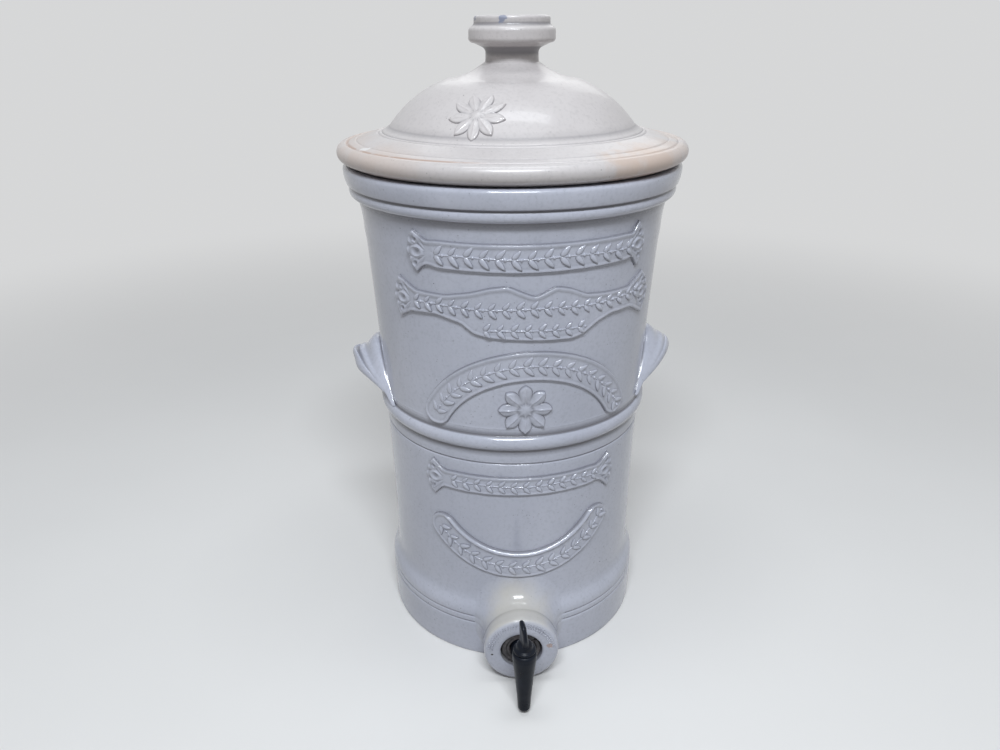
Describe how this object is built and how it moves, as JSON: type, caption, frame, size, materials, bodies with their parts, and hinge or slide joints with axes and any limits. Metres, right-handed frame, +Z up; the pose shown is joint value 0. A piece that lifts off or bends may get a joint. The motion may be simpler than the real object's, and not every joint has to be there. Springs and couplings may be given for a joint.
{
  "type": "gravity water filter",
  "caption": "Stoneware gravity water filter: tall crock with lug handles, domed lid, charcoal filter block on a partition plate, and a plug tap in a boss at the foot.",
  "frame": {"origin": "centre of the crock's underside, on the crock's axis, at the level of the surface it stands on", "axes": "+Z up along the crock's axis, the tap points towards -Y, +X is to the right of someone who faces the tap"},
  "size_m": [0.2542, 0.29, 0.46],
  "materials": {
    "stoneware": "glossy salt glaze, pitted",
    "lid_stoneware": "glossy salt glaze with a warm flush",
    "rubber": "aged, satin",
    "ebonite": "slate black, satin gloss",
    "charcoal": "porous, matt"
  },
  "bodies": {
    "crock_body": {"crock": "stoneware", "handle_left": "stoneware", "handle_right": "stoneware", "banner_top": "stoneware", "banner_middle": "stoneware", "arch": "stoneware", "rosette": "stoneware", "banner_lower": "stoneware", "swag": "stoneware", "tap_boss": "stoneware", "plate_gasket": "rubber", "tap_bung": "rubber", "tap_body": "ebonite"},
    "lid_body": {"lid": "lid_stoneware", "lid_knob": "lid_stoneware", "lid_flower": "lid_stoneware"},
    "filter_unit": {"partition_plate": "stoneware", "stem_washer_upper": "rubber", "stem_washer_lower": "rubber", "block_cup": "stoneware", "charcoal_block": "charcoal", "filter_stem": "ebonite", "stem_wing_nut": "ebonite", "air_vent_tube": "ebonite", "air_vent_washer": "rubber"},
    "key_body": {"tap_key": "ebonite"}
  },
  "joints": [
    {"name": "lid_lift", "type": "slide", "parent": "crock_body", "child": "lid_body", "axis": [0, 0, 1], "range_m": [0, 0.16]},
    {"name": "filter_unit_lift", "type": "slide", "parent": "crock_body", "child": "filter_unit", "axis": [0, 0, 1], "range_m": [0, 0.08]},
    {"name": "tap_key_turn", "type": "hinge", "parent": "crock_body", "child": "key_body", "pos_m": [0, -0.158, 0.057], "axis": [0, 0, 1], "continuous": true}
  ]
}
